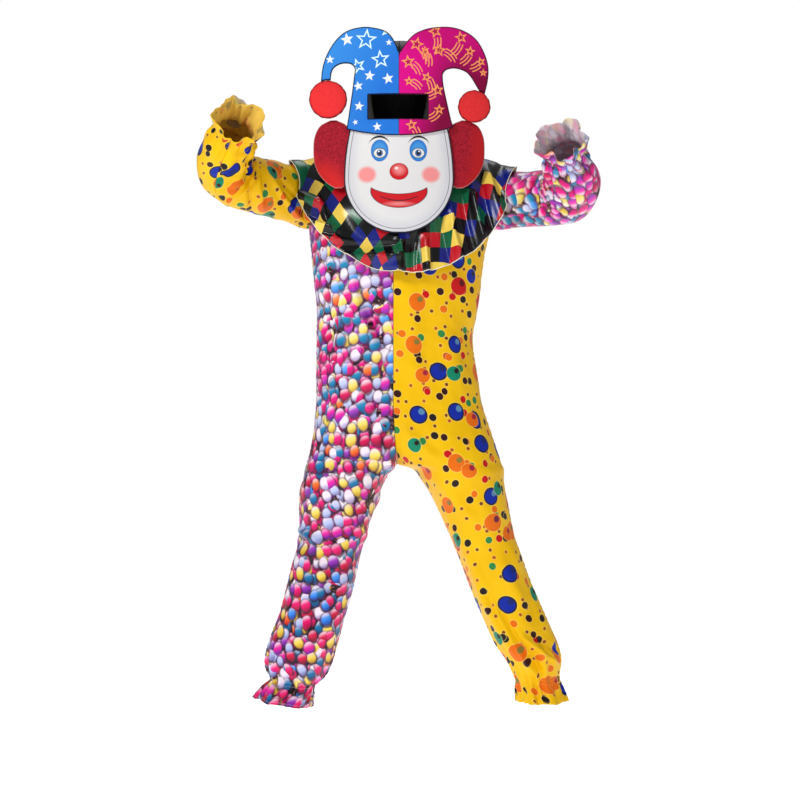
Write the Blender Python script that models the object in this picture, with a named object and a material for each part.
"""Clown costume: a two-colour jumpsuit, a cape collar and a foam-fronted jester headpiece.

Metres, +Z up. The front faces -Y and the wearer's right is -X. The origin is the centre
of the neck opening, between the shoulders that carry the suit.
"""

import math
from collections import namedtuple

import bmesh
import bpy
import numpy as np
from mathutils import Vector
from mathutils.bvhtree import BVHTree

# Driving dimensions
CLOTH = 0.002  # wall of each cloth piece
FOAM = 0.008  # hat and face
HAIR_FOAM = 0.006
SEAM = 0.0003  # gap between two sewn pieces
FOAM_GAP = 0.0007  # gap between two curved foam layers
WELD = 1e-6  # points this close are one
RIGHT, LEFT = -1, 1
FRONT, BACK = -1, 1

# Body panels
PANEL_COLUMNS = 12
YOKE_ROWS = 10  # from the armpit level up to the shoulder seam
NECK_ROWS = 5  # the part of them that follows the neckline
BODY_POWER, LEG_POWER = 0.85, 0.95  # below 1 a section is squarer than an ellipse
ANKLE_WAVES, ANKLE_WAVE = 6, 0.008
NECK_HALF_WIDTH, NECK_HALF_DEPTH, NECK_CENTRE_Y = 0.075, 0.080, 0.005
NECK_SIDE_Z, NECK_FRONT_DROP, NECK_BACK_DROP = 0.008, 0.068, 0.013

# start is the angle where each half begins: 90 at a centre seam, down to 0 at the crotch
TorsoRow = namedtuple("TorsoRow", "z seam right left front back start")
TORSO = [
    TorsoRow(-0.171, -0.0060, -0.2200, 0.2230, 0.150, 0.125, 90),
    TorsoRow(-0.245, -0.0120, -0.2130, 0.2080, 0.152, 0.122, 90),
    TorsoRow(-0.358, -0.0135, -0.2020, 0.1935, 0.146, 0.116, 90),
    TorsoRow(-0.434, -0.0135, -0.2020, 0.1810, 0.142, 0.112, 90),
    TorsoRow(-0.519, -0.0135, -0.2025, 0.1900, 0.143, 0.118, 90),
    TorsoRow(-0.590, -0.0135, -0.2030, 0.2015, 0.145, 0.130, 90),
    TorsoRow(-0.655, -0.0110, -0.2070, 0.2215, 0.143, 0.138, 78),
    TorsoRow(-0.695, -0.0090, -0.2135, 0.2350, 0.139, 0.140, 60),
    TorsoRow(-0.722, -0.0070, -0.2205, 0.2425, 0.136, 0.139, 40),
    TorsoRow(-0.738, -0.0060, -0.2250, 0.2465, 0.133, 0.137, 20),
    TorsoRow(-0.745, -0.0050, -0.2270, 0.2490, 0.131, 0.136, 0),
]
# wave is the share of the ruffle's full wave, and tilt lifts the outer side of the level
LegRow = namedtuple("LegRow", "z outer inner wave tilt")
LEGS = {
    RIGHT: [
        LegRow(-0.757, -0.2305, -0.0190, 0, 0),
        LegRow(-0.784, -0.2355, -0.0330, 0, 0),
        LegRow(-0.808, -0.2430, -0.0440, 0, 0),
        LegRow(-0.867, -0.2450, -0.0650, 0, 0),
        LegRow(-0.914, -0.2430, -0.0795, 0, 0),
        LegRow(-0.948, -0.2495, -0.0890, 0, 0),
        LegRow(-0.990, -0.2620, -0.0990, 0, 0),
        LegRow(-1.049, -0.2770, -0.1115, 0, 0),
        LegRow(-1.107, -0.2920, -0.1280, 0, 0),
        LegRow(-1.161, -0.3120, -0.1440, 0, 0),
        LegRow(-1.218, -0.3250, -0.1650, 0, 0.08),
        LegRow(-1.254, -0.3240, -0.1840, 0, 0.12),
        LegRow(-1.279, -0.3155, -0.2075, 0, 0.16),
        LegRow(-1.303, -0.3320, -0.2130, 0.5, 0.17),
        LegRow(-1.328, -0.3490, -0.2190, 1, 0.17),
    ],
    LEFT: [
        LegRow(-0.757, 0.2545, 0.0335, 0, 0),
        LegRow(-0.784, 0.2560, 0.0550, 0, 0),
        LegRow(-0.808, 0.2600, 0.0715, 0, 0),
        LegRow(-0.8575, 0.2705, 0.0965, 0, 0),
        LegRow(-0.914, 0.2805, 0.1215, 0, 0),
        LegRow(-0.963, 0.2980, 0.1420, 0, 0),
        LegRow(-1.031, 0.3225, 0.1675, 0, 0),
        LegRow(-1.073, 0.3400, 0.1840, 0, 0),
        LegRow(-1.110, 0.3570, 0.2000, 0, 0),
        LegRow(-1.149, 0.3740, 0.2180, 0, 0),
        LegRow(-1.186, 0.3880, 0.2360, 0, 0),
        LegRow(-1.225, 0.3960, 0.2620, 0, 0),
        LegRow(-1.268, 0.3920, 0.2840, 0, 0),
        LegRow(-1.297, 0.3990, 0.2890, 0.5, 0),
        LegRow(-1.325, 0.4060, 0.2945, 1, 0),
    ],
}
LegDepth = namedtuple("LegDepth", "z front back")
LEG_DEPTHS = [
    LegDepth(-1.330, 0.070, 0.070),
    LegDepth(-1.275, 0.052, 0.052),
    LegDepth(-1.254, 0.066, 0.068),
    LegDepth(-1.218, 0.076, 0.080),
    LegDepth(-1.161, 0.080, 0.085),
    LegDepth(-1.049, 0.080, 0.083),
    LegDepth(-0.948, 0.088, 0.092),
    LegDepth(-0.867, 0.102, 0.106),
    LegDepth(-0.808, 0.115, 0.120),
    LegDepth(-0.757, 0.128, 0.134),
]

# Each armhole runs from the armpit, past two handles, to the shoulder tip
SHOULDER_TIPS = {RIGHT: (-0.205, 0.012, -0.012), LEFT: (0.212, 0.012, -0.020)}
ARMHOLE_HANDLES = {  # distance out, depth, height; out is measured on each side
    FRONT: ((0.208, -0.074, -0.150), (0.180, -0.086, -0.030)),
    BACK: ((0.208, 0.070, -0.150), (0.182, 0.082, -0.030)),
}
CENTRE_HANDLES = {  # of the centre seam, from the armpit level up to the neckline
    FRONT: ((-0.003, -0.152, -0.130), (0.0, -0.118, -0.075)),
    BACK: ((0.0, 0.140, -0.100), (0.0, 0.115, -0.030)),
}

# Sleeves: the centre line of each, and its radius along that line
SLEEVE_ROWS = 18
SLEEVE_BLEND = 0.09  # length over which the armhole turns into a round sleeve
CUFF_WAVES, CUFF_WAVE = 5, 0.007
SLEEVE_PATHS = {
    RIGHT: [
        (-0.195, 0.000, -0.090),
        (-0.235, -0.005, -0.088),
        (-0.296, -0.050, -0.079),
        (-0.364, -0.108, -0.067),
        (-0.404, -0.149, -0.052),
        (-0.410, -0.197, -0.027),
        (-0.380, -0.284, 0.028),
        (-0.364, -0.328, 0.054),
    ],
    LEFT: [
        (0.205, 0.000, -0.095),
        (0.245, -0.004, -0.097),
        (0.306, -0.041, -0.099),
        (0.364, -0.080, -0.101),
        (0.401, -0.120, -0.097),
        (0.410, -0.174, -0.073),
        (0.386, -0.247, -0.018),
        (0.373, -0.290, 0.014),
    ],
}
# share of the sleeve's length, its radius, and the share of the cuff's full wave
SleeveRow = namedtuple("SleeveRow", "share radius wave")
SLEEVE_RADII = [
    SleeveRow(0.00, 0.072, 0),
    SleeveRow(0.22, 0.068, 0),
    SleeveRow(0.45, 0.067, 0),
    SleeveRow(0.58, 0.066, 0),
    SleeveRow(0.72, 0.065, 0),
    SleeveRow(0.82, 0.060, 0),
    SleeveRow(0.89, 0.045, 0),
    SleeveRow(0.92, 0.048, 0.3),
    SleeveRow(1.00, 0.060, 1),
]

# Cape collar: its hem every 22.5 degrees, from the front round by the wearer's left
COLLAR_COLUMNS, COLLAR_WAVES, COLLAR_WAVE = 64, 16, 0.011
COLLAR_CLEARANCE = 0.007
COLLAR_DIAGONAL_CLEARANCE = 0.004  # more of it where the collar passes the sleeves
COLLAR_SHOULDER_CALM = 0.9  # how much of the waves is lost over the shoulders
COLLAR_HANDLE = (0.72, 0.002)  # of its curve: share of the way out, rise above the neck
SPINE_POINTS = 60  # of each stretch of the line that the collar is kept clear round
SEARCH_REACH = 0.12
COLLAR_STEPS = (0.0, 0.12, 0.26, 0.41, 0.56, 0.71, 0.86, 1.0)
COLLAR_HEM = [
    (0.000, -0.178, -0.284),
    (0.085, -0.165, -0.280),
    (0.188, -0.150, -0.226),
    (0.252, -0.108, -0.134),
    (0.286, -0.018, -0.034),
    (0.255, 0.080, -0.125),
    (0.175, 0.125, -0.195),
    (0.088, 0.145, -0.235),
    (0.000, 0.150, -0.245),
    (-0.085, 0.145, -0.235),
    (-0.165, 0.125, -0.190),
    (-0.235, 0.085, -0.105),
    (-0.266, -0.018, -0.020),
    (-0.238, -0.110, -0.114),
    (-0.178, -0.147, -0.203),
    (-0.080, -0.165, -0.270),
]

# Headpiece
HAT_FRONT_Y = -0.150
HAT_TURN, HAT_RISE = 0.10, 0.032  # the foam bends back over these from the middle
HAT_COLUMNS = 5
SLOT_COLUMN = 3  # column of the hat that runs down the slot's outer end
SLOT_ENDS = {RIGHT: 0.073, LEFT: 0.0687}
SLOT_ROW = 1  # the slot lies between this row of the hat and the next
# Each row runs from the seam, or the horn's upper edge, to the hat's outer edge
HatRow = namedtuple("HatRow", "inner_x inner_z outer_x outer_z")
HATS = {
    RIGHT: [
        HatRow(0.0, 0.0416, -0.1255, 0.0580),
        HatRow(0.0, 0.0820, -0.1215, 0.0820),
        HatRow(0.0, 0.1390, -0.1130, 0.1390),
        HatRow(0.0, 0.1900, -0.1075, 0.1800),
        HatRow(0.0, 0.2380, -0.1053, 0.1995),
        HatRow(-0.0240, 0.2840, -0.1080, 0.2075),
        HatRow(-0.0660, 0.2995, -0.1135, 0.2125),
        HatRow(-0.1000, 0.2995, -0.1207, 0.2150),
        HatRow(-0.1300, 0.2900, -0.1330, 0.2155),
        HatRow(-0.1545, 0.2680, -0.1450, 0.2125),
        HatRow(-0.1735, 0.2370, -0.1560, 0.2050),
        HatRow(-0.1835, 0.2060, -0.1615, 0.1930),
    ],
    LEFT: [
        HatRow(0.0, 0.0416, 0.1300, 0.0630),
        HatRow(0.0, 0.0820, 0.1240, 0.0820),
        HatRow(0.0, 0.1390, 0.1110, 0.1390),
        HatRow(0.0, 0.1900, 0.1060, 0.1650),
        HatRow(0.0030, 0.2380, 0.1046, 0.1865),
        HatRow(0.0300, 0.2770, 0.1080, 0.1945),
        HatRow(0.0600, 0.2940, 0.1134, 0.1995),
        HatRow(0.0920, 0.3010, 0.1240, 0.2030),
        HatRow(0.1260, 0.3020, 0.1350, 0.2038),
        HatRow(0.1570, 0.2940, 0.1490, 0.2010),
        HatRow(0.1840, 0.2765, 0.1614, 0.1955),
        HatRow(0.2030, 0.2480, 0.1700, 0.1870),
        HatRow(0.2140, 0.2140, 0.1768, 0.1777),
        HatRow(0.2135, 0.1800, 0.1850, 0.1640),
    ],
}
# a pompom's centre and radius, and the angles at which its horn's end meets it
Pompom = namedtuple("Pompom", "x z radius inner_angle outer_angle")
POMPOMS = {
    RIGHT: Pompom(-0.1697, 0.1310, 0.0460, 112.0, 82.0),
    LEFT: Pompom(0.1800, 0.1145, 0.0395, 50.0, 72.0),
}
POMPOM_HALF_THICKNESS = 0.012

# Face oval: a half-ellipse below its widest level, and a slight taper above it
FACE_TOP, FACE_WIDEST, FACE_CHIN = 0.075, -0.060, -0.194
FACE_HALF_WIDTH, FACE_TAPER = 0.131, 0.017
FACE_COLUMNS, FACE_UPPER_ROWS, FACE_LOWER_ROWS = 10, 4, 7
FACE_LAST_ANGLE = 84  # the chin ends in a short flat edge
FACE_LEAN_TOP = 0.040  # level where the face starts to lean forward
FACE_UNBEND = 0.6  # how much flatter the chin is than the brow
CHIN_GAP = 0.0006

HairRow = namedtuple("HairRow", "z near far")
HAIR = [
    HairRow(0.083, 0.150, 0.165),
    HairRow(0.070, 0.126, 0.190),
    HairRow(0.045, 0.111, 0.203),
    HairRow(0.015, 0.108, 0.206),
    HairRow(-0.020, 0.111, 0.203),
    HairRow(-0.050, 0.117, 0.190),
    HairRow(-0.072, 0.125, 0.170),
    HairRow(-0.083, 0.136, 0.152),
]
HAIR_COLUMNS = 5

HoodRow = namedtuple("HoodRow", "z half_width front back")
HOOD_FRONT = HAT_FRONT_Y + FOAM + FOAM_GAP
HOOD = [
    HoodRow(0.2860, 0.000, -0.025, -0.025),
    HoodRow(0.2790, 0.040, -0.080, 0.030),
    HoodRow(0.2620, 0.068, -0.120, 0.075),
    HoodRow(0.2360, 0.085, HOOD_FRONT, 0.102),
    HoodRow(0.2050, 0.094, HOOD_FRONT, 0.115),
    HoodRow(0.1600, 0.095, -0.136, 0.120),
    HoodRow(0.1200, 0.090, -0.130, 0.120),
    HoodRow(0.0800, 0.082, -0.122, 0.116),
    HoodRow(0.0300, 0.077, -0.110, 0.110),
]
HOOD_COLUMNS, HOOD_OPEN_ROW, HOOD_OPEN_COLUMNS = 24, 4, 3
HOOD_POWER = 0.8
POLE_SPREAD = 0.001  # opens the top point a little, so that it has normals

Look = namedtuple("Look", "red green blue roughness")
LOOKS = {
    "balloon_cloth": Look(0.80, 0.20, 0.50, 0.45),
    "yellow_cloth": Look(1.00, 0.80, 0.02, 0.42),
    "harlequin_satin": Look(0.02, 0.35, 0.20, 0.28),
    "blue_foam": Look(0.05, 0.38, 0.85, 0.60),
    "magenta_foam": Look(0.80, 0.05, 0.50, 0.60),
    "red_fluff": Look(0.70, 0.03, 0.04, 0.90),
    "white_foam": Look(0.90, 0.88, 0.86, 0.60),
    "hair_foam": Look(0.35, 0.02, 0.03, 0.75),
    "black_cloth": Look(0.02, 0.02, 0.02, 0.80),
}


def start_empty():
    for thing in list(bpy.data.objects):
        bpy.data.objects.remove(thing)


def material(look_name):
    """The Principled material of a look, made once."""
    found = bpy.data.materials.get(look_name)
    if found:
        return found
    look = LOOKS[look_name]
    made = bpy.data.materials.new(look_name)
    made.use_nodes = True
    shader = made.node_tree.nodes["Principled BSDF"]
    shader.inputs["Base Color"].default_value = (look.red, look.green, look.blue, 1)
    shader.inputs["Roughness"].default_value = look.roughness
    shader.inputs["Metallic"].default_value = 0
    return made


def add_object(name, mesh_maker, look_name):
    """One closed, outward-facing object from a filled bmesh."""
    if mesh_maker.calc_volume(signed=True) < 0:
        bmesh.ops.reverse_faces(mesh_maker, faces=mesh_maker.faces)
    mesh = bpy.data.meshes.new(name)
    mesh_maker.to_mesh(mesh)
    mesh_maker.free()
    mesh.shade_smooth()
    mesh.set_sharp_from_angle(angle=math.radians(50))
    mesh.materials.append(material(look_name))
    made = bpy.data.objects.new(name, mesh)
    bpy.context.scene.collection.objects.link(made)
    return made


def cell_corners(rows, columns, around):
    """Corner numbers of each cell of a grid, counted row by row."""
    cells = {}
    last = columns if around else columns - 1
    for row in range(rows - 1):
        for column in range(last):
            after = (column + 1) % columns
            here, below = row * columns, (row + 1) * columns
            cells[row, column] = (here + column, here + after, below + after, below + column)
    return cells


def wall(name, outer, inner, look_name, around=False, left_out=()):
    """A closed wall between two grids of points, with a rim round every free edge."""
    rows, columns = outer.shape[:2]
    count = rows * columns
    mesh_maker = bmesh.new()
    points = np.concatenate([outer.reshape(-1, 3), inner.reshape(-1, 3)])
    verts = [mesh_maker.verts.new(point) for point in points]
    edges = set()
    for place, corners in cell_corners(rows, columns, around).items():
        if place in left_out:
            continue
        a, b, c, d = corners
        for face in ((a, b, c), (a, c, d)):
            mesh_maker.faces.new([verts[i] for i in face])
            mesh_maker.faces.new([verts[i + count] for i in reversed(face)])
        edges.update(((a, b), (b, c), (c, d), (d, a)))
    for start, end in sorted(edges):
        if (end, start) in edges:
            continue
        mesh_maker.faces.new([verts[i] for i in (end, start, start + count)])
        mesh_maker.faces.new([verts[i] for i in (end, start + count, end + count)])
    bmesh.ops.remove_doubles(mesh_maker, verts=mesh_maker.verts, dist=WELD)
    loose_edges = [edge for edge in mesh_maker.edges if not edge.link_faces]
    bmesh.ops.delete(mesh_maker, geom=loose_edges, context="EDGES")
    loose_verts = [vert for vert in mesh_maker.verts if not vert.link_faces]
    bmesh.ops.delete(mesh_maker, geom=loose_verts, context="VERTS")
    return add_object(name, mesh_maker, look_name)


def unit(vectors):
    return vectors / np.linalg.norm(vectors, axis=-1, keepdims=True)


def grid_normals(points, before=None, after=None, above=None, below=None):
    """Unit normals of a grid from the points on either side of each point.

    before and after hold the columns next to its first and last one, and above and below
    the rows next to its first and last one. Without them the edge looks inwards only.
    """
    before = 2 * points[:, 0] - points[:, 1] if before is None else before
    after = 2 * points[:, -1] - points[:, -2] if after is None else after
    above = 2 * points[0] - points[1] if above is None else above
    below = 2 * points[-1] - points[-2] if below is None else below
    wide = np.concatenate([before[:, None], points, after[:, None]], axis=1)
    tall = np.concatenate([above[None], points, below[None]], axis=0)
    return unit(np.cross(wide[:, 2:] - wide[:, :-2], tall[2:] - tall[:-2]))


def curve_through(points, count, closed=False):
    """Points along the smooth curve through some points, evenly spread over its spans."""
    points = np.array(points, float)
    if closed:
        wide = np.concatenate([points[-1:], points, points[:2]])
        places = np.arange(count) * len(points) / count
    else:
        wide = np.concatenate([2 * points[:1] - points[1:2], points, 2 * points[-1:] - points[-2:-1]])
        places = np.linspace(0, len(points) - 1, count)
    span = np.minimum(places.astype(int), len(wide) - 4)
    t = (places - span)[:, None]
    a, b, c, d = (wide[span + k] for k in range(4))
    return 0.5 * (2 * b + (c - a) * t + (2 * a - 5 * b + 4 * c - d) * t**2 + (3 * b - a - 3 * c + d) * t**3)


def bezier(corners, count):
    """Points along the Bezier curve of three or four corners."""
    corners = np.array(corners, float)
    order = len(corners) - 1
    t = np.linspace(0, 1, count)[:, None]
    shares = [math.comb(order, k) * t**k * (1 - t) ** (order - k) for k in range(order + 1)]
    return sum(share * corner for share, corner in zip(shares, corners))


def smooth_step(values):
    values = np.clip(values, 0, 1)
    return values * values * (3 - 2 * values)


def section(z, seam, outer, depth, start, side, facing):
    """One level of a body panel, from its inner seam round to its side seam."""
    power = np.interp(z, (-0.80, -0.60), (LEG_POWER, BODY_POWER))
    angle = np.radians(np.linspace(start, 180, PANEL_COLUMNS + 1))
    across = np.sign(np.cos(angle)) * np.abs(np.cos(angle)) ** power
    deep = np.sin(angle).clip(0) ** power
    reach = abs(outer - seam) / (1 + across[0])
    x = seam + side * reach * (across[0] - across)
    return np.stack([x, facing * depth * deep, np.full_like(x, z)], axis=1)


def leg_level(row, side, facing):
    """One level of a leg, tilted and rippled where its row says so."""
    heights = [entry.z for entry in LEG_DEPTHS]
    depths = [entry.front if facing == FRONT else entry.back for entry in LEG_DEPTHS]
    depth = np.interp(row.z, heights, depths)
    points = section(row.z, row.inner, row.outer, depth, 0, side, facing)
    middle = np.array([(row.inner + row.outer) / 2, 0, row.z])
    points[:, 2] += row.tilt * side * (points[:, 0] - middle[0])
    away = points - middle
    away[:, 2] = 0
    angle = np.linspace(0, math.pi, PANEL_COLUMNS + 1)
    ripple = ANKLE_WAVE * row.wave * np.cos(ANKLE_WAVES * angle)
    return points + unit(away) * ripple[:, None]


def neck_point(angle):
    """The neckline: angle 0 at the front, 90 degrees at the wearer's left."""
    front, back = np.clip(np.cos(angle), 0, 1), np.clip(-np.cos(angle), 0, 1)
    x = NECK_HALF_WIDTH * np.sin(angle)
    y = NECK_CENTRE_Y - NECK_HALF_DEPTH * np.cos(angle)
    z = NECK_SIDE_Z - NECK_FRONT_DROP * front**1.5 - NECK_BACK_DROP * back
    return np.stack([x, y, z], axis=-1)


def yoke(bottom, side, facing):
    """The panel above the armpits, from the shoulder seam down, as a patch of four edges."""
    handles = [(side * out, depth, height) for out, depth, height in ARMHOLE_HANDLES[facing]]
    armhole = bezier([bottom[-1], *handles, SHOULDER_TIPS[side]], YOKE_ROWS + 1)
    neck_angle = np.linspace(0 if facing == FRONT else math.pi, math.pi / 2, NECK_ROWS + 1)
    neckline = neck_point(side * neck_angle)
    centre = bezier([bottom[0], *CENTRE_HANDLES[facing], neckline[0]], YOKE_ROWS - NECK_ROWS + 1)
    inner = np.concatenate([centre, neckline[1:]])
    top = np.linspace(inner[-1], armhole[-1], PANEL_COLUMNS + 1)
    u = np.linspace(0, 1, PANEL_COLUMNS + 1)[None, :, None]
    v = np.linspace(0, 1, YOKE_ROWS + 1)[:, None, None]
    corners = (1 - u) * ((1 - v) * bottom[0] + v * top[0]) + u * ((1 - v) * bottom[-1] + v * top[-1])
    ruled = (1 - v) * bottom[None] + v * top[None] + (1 - u) * inner[:, None] + u * armhole[:, None]
    return (ruled - corners)[::-1]


def body_panel(side, facing):
    """The outer points of one body panel, from the shoulder seam down to the ankle hem."""
    levels = []
    for row in TORSO:
        outer = row.right if side == RIGHT else row.left
        depth = row.front if facing == FRONT else row.back
        levels.append(section(row.z, row.seam, outer, depth, row.start, side, facing))
    body = np.array(levels)
    leg = np.array([leg_level(row, side, facing) for row in LEGS[side]])
    return np.concatenate([yoke(body[0], side, facing), body[1:], leg])


ARMPIT = YOKE_ROWS
CROTCH_FROM = YOKE_ROWS + [row.start < 90 for row in TORSO].index(True)
CROTCH_END = YOKE_ROWS + len(TORSO) - 1


def panel_normals(panels, side, facing):
    """Outward normals of a panel, the same as its neighbour's along every seam."""
    own = panels[side, facing]
    turned = panels[side, -facing]
    other = panels[-side, facing]
    before = 2 * own[:, 0] - own[:, 1]
    before[NECK_ROWS:CROTCH_FROM] = other[NECK_ROWS:CROTCH_FROM, 1]
    before[CROTCH_END + 1 :] = turned[CROTCH_END + 1 :, 1]
    after = 2 * own[:, -1] - own[:, -2]
    after[ARMPIT:] = turned[ARMPIT:, -2]
    normals = grid_normals(own, before, after, above=turned[1])
    return normals * side * facing


def part_seams(points, side, facing):
    """Half the seam's gap at each edge that another panel meets."""
    points[NECK_ROWS : CROTCH_END + 1, 0, 0] += side * SEAM / 2
    points[CROTCH_END:, 0, 1] += facing * SEAM / 2
    points[ARMPIT:, -1, 1] += facing * SEAM / 2
    points[0, :, 1] += facing * SEAM / 2


def make_panels(panels, normals):
    for (side, facing), outer in panels.items():
        inner = outer - CLOTH * normals[side, facing]
        outer = outer.copy()
        part_seams(outer, side, facing)
        part_seams(inner, side, facing)
        name = ("front_" if facing == FRONT else "back_") + ("right" if side == RIGHT else "left")
        wall(name, outer, inner, "balloon_cloth" if side == RIGHT else "yellow_cloth")


def sleeve_frames(path):
    """At each point of a path, its direction and two turned-along directions across it."""
    along = unit(np.gradient(path, axis=0))
    down = np.array([0.0, 0.0, -1.0])
    downs = []
    for direction in along:
        down = unit(down - direction * np.dot(down, direction))
        downs.append(down)
    downs = np.array(downs)
    return along, downs, np.cross(along, downs)


def sleeve(panels, side):
    """Outer points and normals of a sleeve, from its armhole to its ruffled mouth."""
    fine = curve_through(SLEEVE_PATHS[side], 400)
    lengths = np.concatenate([[0], np.cumsum(np.linalg.norm(np.diff(fine, axis=0), axis=1))])
    shares = np.linspace(0, 1, SLEEVE_ROWS + 1)
    shares = shares * (0.55 + 0.45 * shares * (2 - shares))
    length = lengths[-1]
    path = np.stack([np.interp(shares * length, lengths, fine[:, k]) for k in range(3)], axis=1)
    _, downs, fronts = sleeve_frames(path)
    fronts = -side * fronts
    front, back = panels[side, FRONT][: ARMPIT + 1, -1], panels[side, BACK][: ARMPIT + 1, -1]
    armhole = np.concatenate([front[::-1], back[1:-1]])
    count = len(armhole)
    angle = np.arange(count) * 2 * math.pi / count
    radius = np.interp(shares, [row.share for row in SLEEVE_RADII], [row.radius for row in SLEEVE_RADII])
    wave = np.interp(shares, [row.share for row in SLEEVE_RADII], [row.wave for row in SLEEVE_RADII])
    reach = radius[:, None] + CUFF_WAVE * wave[:, None] * np.cos(CUFF_WAVES * angle)[None]
    away = np.cos(angle)[None, :, None] * downs[:, None] + np.sin(angle)[None, :, None] * fronts[:, None]
    rings = path[:, None] + reach[..., None] * away
    start = np.array([side * SEAM, 0, 0])
    moved = armhole[None] + start + (path - path[0])[:, None]
    share = smooth_step(shares * length / SLEEVE_BLEND)[:, None, None]
    points = (1 - share) * moved + share * rings
    normals = grid_normals(points, before=points[:, -1], after=points[:, 0])
    if np.mean(np.sum(normals * away, axis=-1)) < 0:
        normals = -normals
    straight = armhole - path[0]
    straight[:, 0] = 0
    normals[0] = unit(straight)
    return points, normals


def surface_tree(grids):
    """A search tree over some grids of points; the flag says that a grid closes round."""
    points, faces = [], []
    for grid, around in grids:
        base = len(points)
        points.extend(Vector(point) for point in grid.reshape(-1, 3))
        for corners in cell_corners(*grid.shape[:2], around).values():
            a, b, c, d = (base + corner for corner in corners)
            faces.extend(((a, b, c), (a, c, d)))
    return BVHTree.FromPolygons(points, faces)


def body_spine():
    """Points along the middle of one sleeve, across the shoulders and down the other."""
    right, left = (curve_through(SLEEVE_PATHS[side], SPINE_POINTS) for side in (RIGHT, LEFT))
    return np.concatenate([right[::-1], np.linspace(right[0], left[0], SPINE_POINTS), left])


def push_clear(points, tree, clearance):
    """Moves each point away from the spine until it is the clearance outside the cloth."""
    spine = body_spine()
    for index in np.ndindex(points.shape[:2]):
        middle = spine[np.argmin(np.linalg.norm(spine - points[index], axis=1))]
        away = unit(points[index] - middle)
        start = points[index] + SEARCH_REACH * away
        hit = tree.ray_cast(Vector(start), Vector(-away), SEARCH_REACH + np.linalg.norm(start - middle))[0]
        if hit is None:
            continue
        least = np.array(hit) + clearance[index] * away
        if np.dot(least - points[index], away) > 0:
            points[index] = least


def collar(tree):
    """Under side and outer side of the cape collar, neck edge first."""
    angle = np.arange(COLLAR_COLUMNS) * 2 * math.pi / COLLAR_COLUMNS
    neck = neck_point(angle)
    neck += unit(np.stack([0.15 * np.sin(angle), -0.55 * np.cos(angle), np.full_like(angle, 0.83)], 1)) * 2 * SEAM
    hem = curve_through(COLLAR_HEM, COLLAR_COLUMNS, closed=True)
    out, rise = COLLAR_HANDLE
    handle = np.stack([hem[:, 0] * out, hem[:, 1] * out, neck[:, 2] + rise], axis=1)
    t = np.array(COLLAR_STEPS)[:, None, None]
    points = (1 - t) ** 2 * neck + 2 * t * (1 - t) * handle + t**2 * hem
    normals = grid_normals(points, before=points[:, -1], after=points[:, 0])
    upward = np.sign(np.sum(normals[..., 2]))
    calm = 1 - COLLAR_SHOULDER_CALM * np.sin(angle) ** 4
    ripple = COLLAR_WAVE * t[..., 0] ** 1.5 * calm * (np.cos(COLLAR_WAVES * angle) + 0.5)
    points += upward * normals * ripple[..., None]
    clearance = COLLAR_CLEARANCE + COLLAR_DIAGONAL_CLEARANCE * np.sin(2 * angle) ** 2
    clearance = np.repeat(clearance[None], len(COLLAR_STEPS), axis=0)
    clearance[0] = SEAM
    push_clear(points, tree, clearance)
    normals = upward * grid_normals(points, before=points[:, -1], after=points[:, 0])
    return points, points + CLOTH * normals


def foam_bend(x):
    """How far the headpiece's foam bends back at a distance from its middle."""
    return HAT_RISE * (np.hypot(1, x / HAT_TURN) - 1)


def face_lean(z):
    """0 at the brow and 1 at the chin."""
    return smooth_step((FACE_LEAN_TOP - z) / (FACE_LEAN_TOP - FACE_CHIN))


def face_y(x, z, lean):
    """Front of the face panel, behind the hat's brim and leaning forward below it."""
    down = face_lean(z)
    return HAT_FRONT_Y + FOAM + FOAM_GAP + foam_bend(x) * (1 - FACE_UNBEND * down) - lean * down


def hat(side):
    """One half of the hat, with its horn and its half of the eye slot."""
    rows = HATS[side]
    pompom = POMPOMS[side]
    shares = np.linspace(0, 1, HAT_COLUMNS + 1)
    grid = []
    for number, row in enumerate(rows):
        share = shares.copy()
        if number in (SLOT_ROW, SLOT_ROW + 1):
            end = SLOT_ENDS[side] / abs(row.outer_x)
            share[: SLOT_COLUMN + 1] = np.linspace(0, end, SLOT_COLUMN + 1)
            share[SLOT_COLUMN:] = np.linspace(end, 1, HAT_COLUMNS + 1 - SLOT_COLUMN)
        x = row.inner_x + share * (row.outer_x - row.inner_x)
        climb = share**2 if number == 0 else share  # the brim dips in a curve
        z = row.inner_z + climb * (row.outer_z - row.inner_z)
        grid.append(np.stack([x, z], axis=1))
    angle = np.radians(pompom.inner_angle + shares * (pompom.outer_angle - pompom.inner_angle))
    reach = pompom.radius + SEAM
    grid.append(np.stack([pompom.x + reach * np.cos(angle), pompom.z + reach * np.sin(angle)], axis=1))
    grid = np.array(grid)
    x, z = grid[..., 0], grid[..., 1]
    x = np.where(np.abs(x) < SEAM / 2, side * SEAM / 2, x)
    outer = np.stack([x, HAT_FRONT_Y + foam_bend(x), z], axis=-1)
    slot = [(SLOT_ROW, column) for column in range(SLOT_COLUMN)]
    name, look_name = ("hat_right", "blue_foam") if side == RIGHT else ("hat_left", "magenta_foam")
    wall(name, outer, outer + np.array([0, FOAM, 0]), look_name, left_out=slot)


def pompom(side):
    shape = POMPOMS[side]
    mesh_maker = bmesh.new()
    bmesh.ops.create_uvsphere(mesh_maker, u_segments=20, v_segments=10, radius=1)
    middle = HAT_FRONT_Y + foam_bend(shape.x) + FOAM / 4
    for vert in mesh_maker.verts:
        x, y, z = vert.co
        vert.co = (
            shape.x + shape.radius * x,
            middle + POMPOM_HALF_THICKNESS * z,
            shape.z + shape.radius * y,
        )
    bmesh.ops.triangulate(mesh_maker, faces=mesh_maker.faces)
    add_object("pompom_right" if side == RIGHT else "pompom_left", mesh_maker, "red_fluff")


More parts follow.
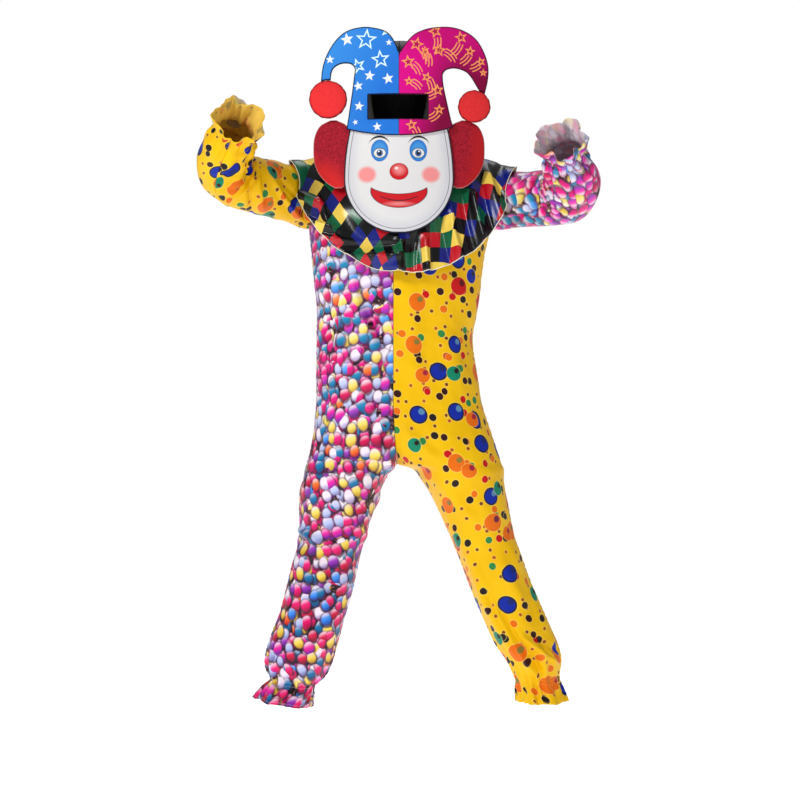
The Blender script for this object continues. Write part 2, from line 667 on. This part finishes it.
def face_grid():
    """Heights and half-widths of the face's levels, and its places across."""
    upper = np.linspace(FACE_TOP, FACE_WIDEST, FACE_UPPER_ROWS + 1)
    taper = (upper - FACE_WIDEST) / (FACE_TOP - FACE_WIDEST)
    angle = np.radians(np.linspace(0, FACE_LAST_ANGLE, FACE_LOWER_ROWS + 1))[1:]
    z = np.concatenate([upper, FACE_WIDEST - (FACE_WIDEST - FACE_CHIN) * np.sin(angle)])
    half = np.concatenate([FACE_HALF_WIDTH - FACE_TAPER * taper**2, FACE_HALF_WIDTH * np.cos(angle)])
    across = np.sin(np.linspace(-1, 1, FACE_COLUMNS + 1) * math.pi / 2)
    return half[:, None] * across[None], np.repeat(z[:, None], FACE_COLUMNS + 1, axis=1)


def chin_lean(collar_tree):
    """How far the chin leans forward so that it just rests on the collar."""
    x, z = face_grid()
    low = z < FACE_WIDEST
    lean = 0.0
    for _ in range(4):
        back = face_y(x, z, lean) + FOAM
        room = []
        for place in zip(x[low], back[low], z[low]):
            start = Vector((place[0], place[1] - 0.2, place[2]))
            hit = collar_tree.ray_cast(start, Vector((0, 1, 0)))[0]
            if hit:
                room.append((hit.y - place[1] - CHIN_GAP) / face_lean(place[2]))
        lean -= min(room)
    return lean


def face_panel(lean):
    x, z = face_grid()
    outer = np.stack([x, face_y(x, z, lean), z], axis=-1)
    wall("face_panel", outer, outer + np.array([0, FOAM, 0]), "white_foam")


def hair(side, lean):
    share = np.linspace(0, 1, HAIR_COLUMNS + 1)[None]
    near = np.array([row.near for row in HAIR])[:, None]
    far = np.array([row.far for row in HAIR])[:, None]
    x = side * (near + share * (far - near))
    z = np.repeat(np.array([row.z for row in HAIR])[:, None], HAIR_COLUMNS + 1, axis=1)
    outer = np.stack([x, face_y(x, z, lean) + FOAM + FOAM_GAP, z], axis=-1)
    name = "hair_right" if side == RIGHT else "hair_left"
    wall(name, outer, outer + np.array([0, HAIR_FOAM, 0]), "hair_foam")


def hood():
    """The cap behind the foam, open for the face and at the neck."""
    angle = np.arange(HOOD_COLUMNS) * 2 * math.pi / HOOD_COLUMNS
    levels = []
    for row in HOOD:
        middle, half = (row.front + row.back) / 2, (row.back - row.front) / 2
        x = row.half_width * np.sign(np.sin(angle)) * np.abs(np.sin(angle)) ** HOOD_POWER
        y = middle - half * np.sign(np.cos(angle)) * np.abs(np.cos(angle)) ** HOOD_POWER
        levels.append(np.stack([x, y, np.full_like(angle, row.z)], axis=1))
    outer = np.array(levels)
    spread = outer.copy()
    spread[0] += POLE_SPREAD * (outer[1] - outer[0])
    normals = grid_normals(spread, before=spread[:, -1], after=spread[:, 0])
    if np.sum(normals * (outer - outer.mean(axis=1, keepdims=True))) < 0:
        normals = -normals
    normals[0] = (0, 0, 1)
    opening = [
        (row, column % HOOD_COLUMNS)
        for row in range(HOOD_OPEN_ROW, len(HOOD) - 1)
        for column in range(-HOOD_OPEN_COLUMNS, HOOD_OPEN_COLUMNS)
    ]
    wall("hood", outer, outer - CLOTH * normals, "black_cloth", around=True, left_out=opening)


def make_costume():
    start_empty()
    sides = [(side, facing) for side in (RIGHT, LEFT) for facing in (FRONT, BACK)]
    panels = {key: body_panel(*key) for key in sides}
    normals = {key: panel_normals(panels, *key) for key in sides}
    make_panels(panels, normals)
    grids = [(panels[key], False) for key in sides]
    for side in (RIGHT, LEFT):
        points, away = sleeve(panels, side)
        grids.append((points, True))
        name, look_name = ("sleeve_right", "yellow_cloth") if side == RIGHT else ("sleeve_left", "balloon_cloth")
        wall(name, points, points - CLOTH * away, look_name, around=True)
    under, over = collar(surface_tree(grids))
    wall("collar", over, under, "harlequin_satin", around=True)
    lean = chin_lean(surface_tree([(over, True)]))
    face_panel(lean)
    for side in (RIGHT, LEFT):
        hat(side)
        pompom(side)
        hair(side, lean)
    hood()


make_costume()
